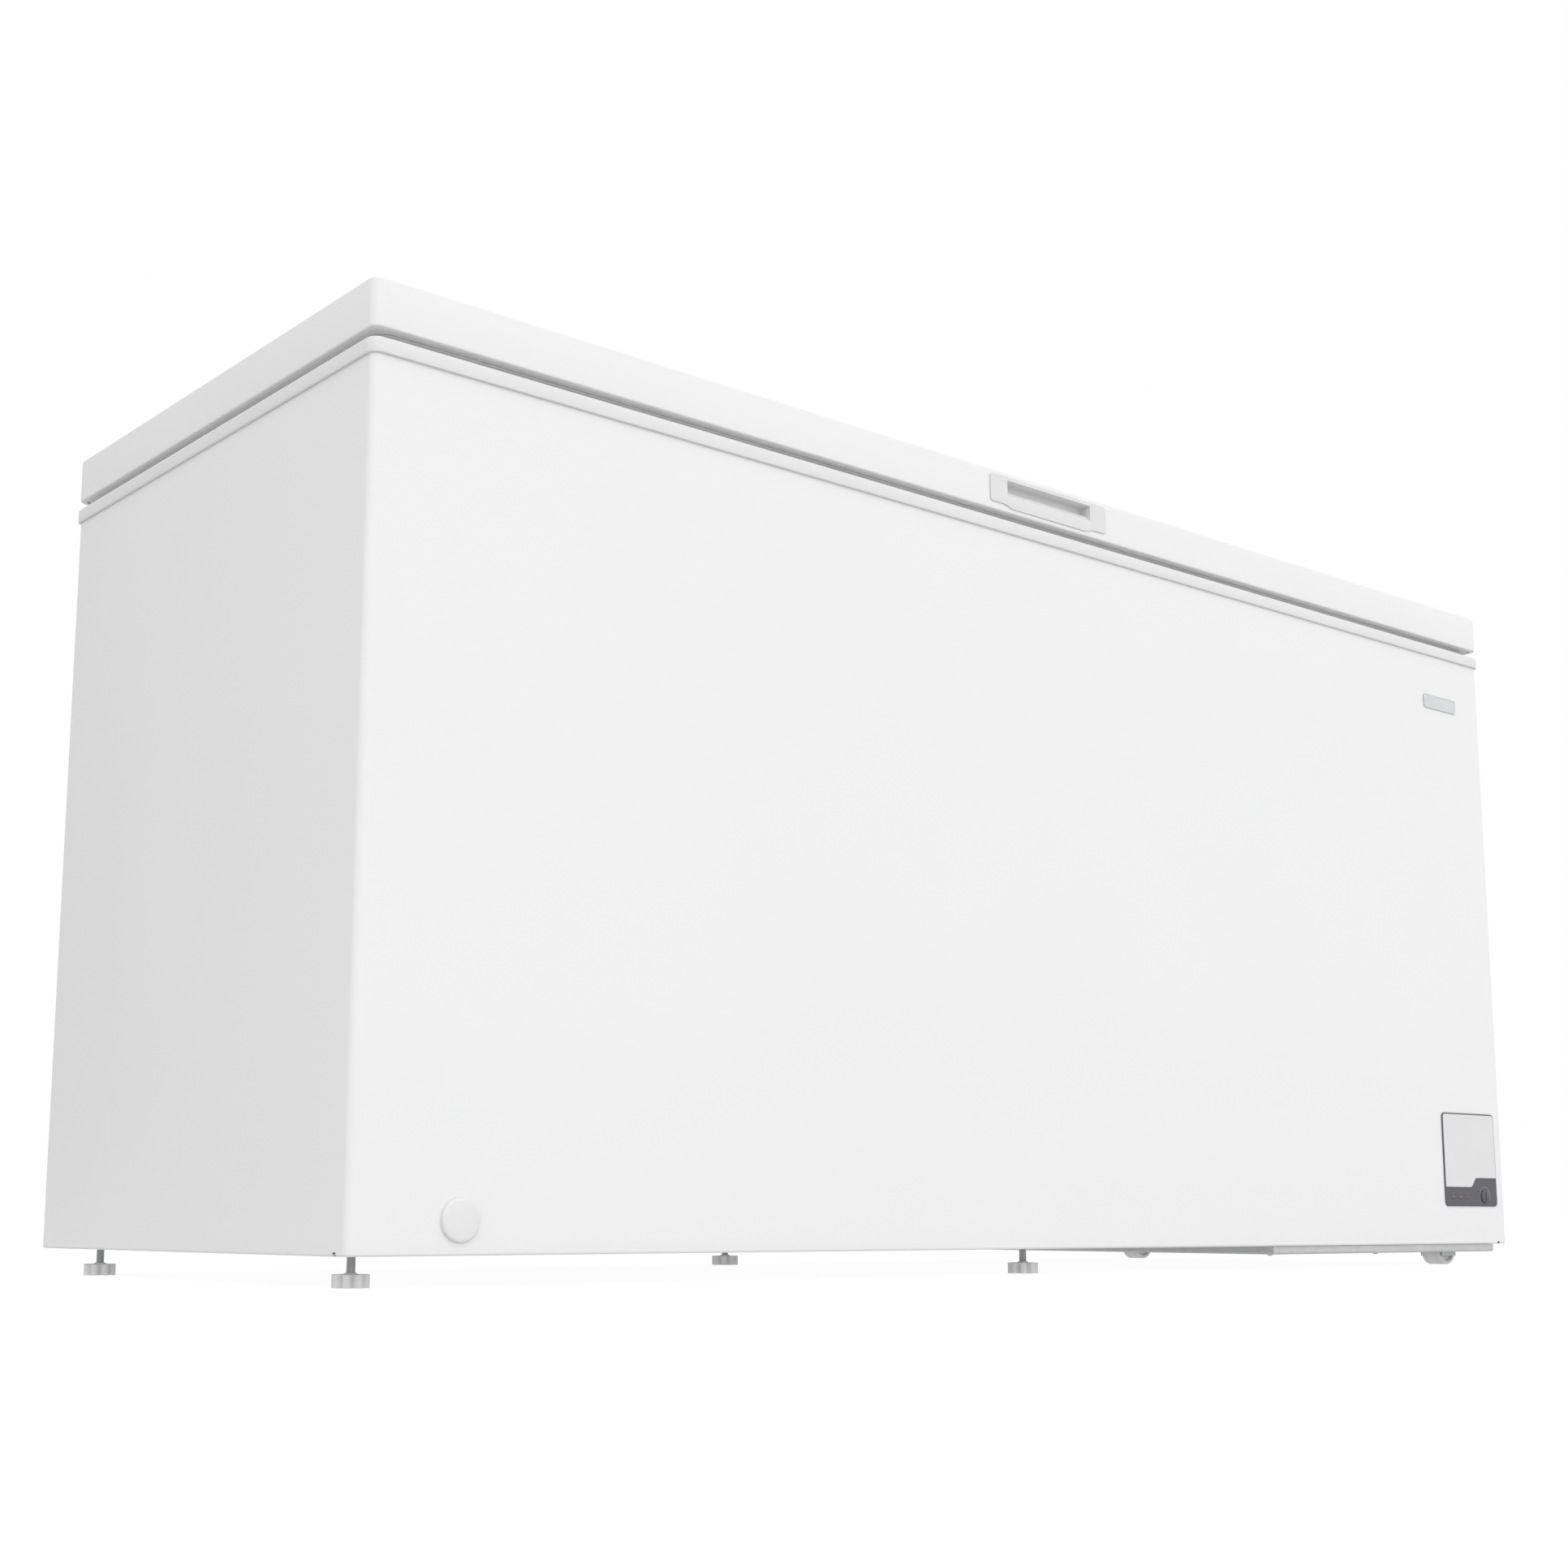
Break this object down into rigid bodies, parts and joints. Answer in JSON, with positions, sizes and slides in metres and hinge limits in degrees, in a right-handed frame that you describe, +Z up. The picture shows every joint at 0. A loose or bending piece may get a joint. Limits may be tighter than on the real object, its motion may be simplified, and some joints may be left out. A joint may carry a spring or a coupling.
{
  "type": "chest freezer",
  "caption": "Wide white chest freezer with a hinged lid, finger pocket, wire baskets, low control panel, front drain, levelling feet and rollers.",
  "frame": {"origin": "on the floor, under the centre of the whole freezer", "axes": "+Z up, front faces -Y, +X to the right seen from the front"},
  "size_m": [1.685, 0.6362, 0.848],
  "materials": {
    "white_paint": "satin",
    "white_plastic": "satin",
    "basket_coating": "satin",
    "grip_plastic": "satin",
    "cover_plastic": "satin",
    "dark_plastic": "satin",
    "black_plastic": "satin",
    "gasket_rubber": "matte",
    "black_rubber": "matte",
    "zinc_steel": "satin",
    "spring_steel": "satin",
    "liner_sheet": "satin",
    "tube_aluminium": "satin",
    "copper_tube": "satin",
    "compressor_paint": "satin",
    "insulation": "matte",
    "lens_green": "gloss",
    "lens_orange": "gloss",
    "lens_red": "gloss"
  },
  "bodies": {
    "cabinet": {"outer_wrap": "white_paint", "rear_panel": "white_paint", "top_collar": "white_plastic", "drain_tube": "white_plastic", "vent_grille": "white_plastic", "control_panel_cover": "cover_plastic", "control_panel_base": "dark_plastic", "terminal_box": "black_plastic", "cord_gland": "black_plastic", "compressor_mount_1": "black_rubber", "compressor_mount_2": "black_rubber", "compressor_mount_3": "black_rubber", "compressor_mount_4": "black_rubber", "bottom_panel": "zinc_steel", "machine_room_panel": "zinc_steel", "base_pan": "zinc_steel", "hinge_bracket_left": "zinc_steel", "hinge_bracket_right": "zinc_steel", "roller_bracket_front": "zinc_steel", "roller_bracket_rear": "zinc_steel", "thermostat": "zinc_steel", "hinge_pin_left": "spring_steel", "hinge_pin_right": "spring_steel", "hinge_spring_left": "spring_steel", "hinge_spring_right": "spring_steel", "roller_axle_front": "spring_steel", "roller_axle_rear": "spring_steel", "inner_liner": "liner_sheet", "evaporator_coil": "tube_aluminium", "front_badge": "tube_aluminium", "condenser_coil": "copper_tube", "discharge_pipe": "copper_tube", "suction_pipe": "copper_tube", "filter_drier": "copper_tube", "compressor": "compressor_paint", "foam_insulation": "insulation", "indicator_lens_1": "lens_green", "indicator_lens_2": "lens_orange", "indicator_lens_3": "lens_red"},
    "lid": {"lid_skin": "white_paint", "lid_foam": "insulation", "lid_liner": "white_plastic", "lid_gasket": "gasket_rubber", "lid_grip": "grip_plastic", "hinge_leaf_left": "zinc_steel", "hinge_leaf_right": "zinc_steel"},
    "basket_left": {"basket_left": "basket_coating", "basket_left_rim": "basket_coating"},
    "basket_right": {"basket_right": "basket_coating", "basket_right_rim": "basket_coating"},
    "roller_front": {"roller_front": "grip_plastic"},
    "roller_rear": {"roller_rear": "grip_plastic"},
    "thermostat_dial": {"thermostat_dial": "cover_plastic"},
    "drain_cap": {"drain_cap": "white_plastic"},
    "drain_plug": {"drain_plug": "white_plastic"},
    "foot_front_left": {"foot_front_left": "white_plastic"},
    "foot_front_middle": {"foot_front_middle": "white_plastic"},
    "foot_rear_left": {"foot_rear_left": "white_plastic"},
    "foot_rear_middle": {"foot_rear_middle": "white_plastic"}
  },
  "joints": [
    {"name": "lid_hinge", "type": "hinge", "parent": "cabinet", "child": "lid", "pos_m": [0, 0.3089, 0.807], "axis": [-1, 0, 0], "range_deg": [0, 80], "stiffness_Nm_per_rad": 14.3, "springref_deg": 104.28},
    {"name": "basket_left_slide", "type": "slide", "parent": "cabinet", "child": "basket_left", "axis": [1, 0, 0], "range_m": [0, 0.4]},
    {"name": "basket_right_slide", "type": "slide", "parent": "cabinet", "child": "basket_right", "axis": [1, 0, 0], "range_m": [-0.4, 0]},
    {"name": "foot_front_left_screw", "type": "slide", "parent": "cabinet", "child": "foot_front_left", "axis": [0, 0, 1], "range_m": [-0.012, 0.012]},
    {"name": "foot_front_middle_screw", "type": "slide", "parent": "cabinet", "child": "foot_front_middle", "axis": [0, 0, 1], "range_m": [-0.012, 0.012]},
    {"name": "foot_rear_left_screw", "type": "slide", "parent": "cabinet", "child": "foot_rear_left", "axis": [0, 0, 1], "range_m": [-0.012, 0.012]},
    {"name": "foot_rear_middle_screw", "type": "slide", "parent": "cabinet", "child": "foot_rear_middle", "axis": [0, 0, 1], "range_m": [-0.012, 0.012]},
    {"name": "roller_front_spin", "type": "hinge", "parent": "cabinet", "child": "roller_front", "pos_m": [0.7725, -0.2556, 0.0185], "axis": [0, 1, 0], "continuous": true},
    {"name": "roller_rear_spin", "type": "hinge", "parent": "cabinet", "child": "roller_rear", "pos_m": [0.7725, 0.2384, 0.0185], "axis": [0, 1, 0], "continuous": true},
    {"name": "thermostat_dial_turn", "type": "hinge", "parent": "cabinet", "child": "thermostat_dial", "pos_m": [0.791, -0.3136, 0.085], "axis": [0, -1, 0], "range_deg": [-135, 135]},
    {"name": "drain_cap_pull", "type": "slide", "parent": "cabinet", "child": "drain_cap", "axis": [0, -1, 0], "range_m": [0, 0.03]},
    {"name": "drain_plug_lift", "type": "slide", "parent": "cabinet", "child": "drain_plug", "axis": [0, 0, 1], "range_m": [0, 0.03]}
  ]
}
